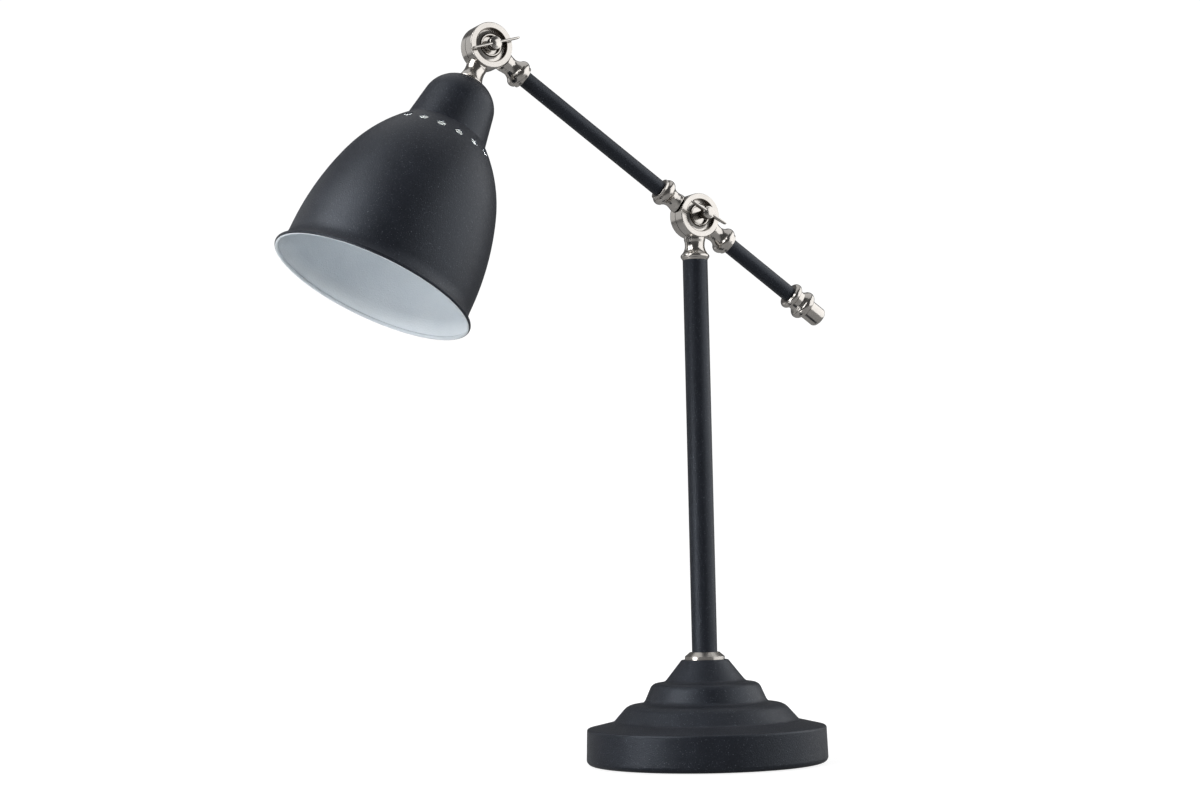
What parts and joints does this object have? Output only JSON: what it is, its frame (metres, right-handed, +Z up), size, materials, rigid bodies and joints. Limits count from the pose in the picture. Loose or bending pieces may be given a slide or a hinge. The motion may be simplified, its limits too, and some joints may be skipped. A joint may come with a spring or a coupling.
{
  "type": "counterweight balance desk lamp",
  "caption": "Desk lamp: bell shade on a tilting counterweighted arm, clamped by wing screws at two knuckles, on a slim post and a stepped round base.",
  "frame": {"origin": "centre of the flat face the base rests on, on the axis of the post", "axes": "+Z up along the post; the arm swings in the XZ plane with the shade towards -X and the counterweight towards +X; the wing screws face -Y"},
  "size_m": [0.4484, 0.1816, 0.5418],
  "materials": {
    "charcoal_paint": "charcoal powder coat, fine sand texture",
    "satin_nickel": "satin nickel plate",
    "cast_iron": "as cast",
    "zinc_steel": "zinc plate",
    "felt": "felt",
    "black_plastic": "moulded",
    "white_plastic": "moulded",
    "porcelain": "glazed",
    "brass": "plain",
    "lead_sheath": "extruded"
  },
  "bodies": {
    "base": {"base_cover": "charcoal_paint", "base_weight": "cast_iron", "base_plate": "zinc_steel", "base_pad": "felt", "plate_screws": "zinc_steel", "base_nipple": "zinc_steel", "nipple_nut": "zinc_steel", "nipple_washer": "zinc_steel", "cord_bush": "black_plastic", "base_collar": "satin_nickel", "post_plug": "zinc_steel", "post_tube": "charcoal_paint", "post_ferrule": "satin_nickel", "post_knuckle": "satin_nickel", "post_lead": "lead_sheath"},
    "arm": {"arm_knuckle": "satin_nickel", "upper_ferrule": "satin_nickel", "upper_tube": "charcoal_paint", "head_ferrule": "satin_nickel", "head_knuckle": "satin_nickel", "lower_ferrule": "satin_nickel", "lower_tube": "charcoal_paint", "counterweight": "satin_nickel", "counterweight_knob": "satin_nickel", "arm_friction_washer": "black_plastic", "arm_pivot_nut": "zinc_steel", "arm_pressure_washer": "zinc_steel", "arm_lead": "lead_sheath", "head_friction_washer": "black_plastic", "head_pivot_nut": "zinc_steel", "head_pressure_washer": "zinc_steel"},
    "head": {"shade_knuckle": "satin_nickel", "shade": "charcoal_paint", "shade_nipple": "zinc_steel", "shade_washer": "zinc_steel", "shade_nut": "zinc_steel", "lampholder_cap": "white_plastic", "lampholder_body": "white_plastic", "lampholder_core": "porcelain", "lampholder_thread": "brass", "lampholder_contact": "brass", "head_lead": "lead_sheath"},
    "arm_screw": {"arm_wing_screw": "satin_nickel"},
    "head_screw": {"head_wing_screw": "satin_nickel"}
  },
  "joints": [
    {"name": "arm_tilt", "type": "hinge", "parent": "base", "child": "arm", "pos_m": [0, 0, 0.412], "axis": [0, 1, 0], "range_deg": [-50, 2]},
    {"name": "shade_tilt", "type": "hinge", "parent": "arm", "child": "head", "pos_m": [-0.17402, 0, 0.52501], "axis": [0, -1, 0], "range_deg": [-110, 14]},
    {"name": "arm_screw_turn", "type": "hinge", "parent": "arm", "child": "arm_screw", "pos_m": [0, 0, 0.412], "axis": [0, -1, 0], "range_deg": [-20, 340]},
    {"name": "head_screw_turn", "type": "hinge", "parent": "arm", "child": "head_screw", "pos_m": [-0.17402, 0, 0.52501], "axis": [0, -1, 0], "range_deg": [-20, 340]}
  ]
}
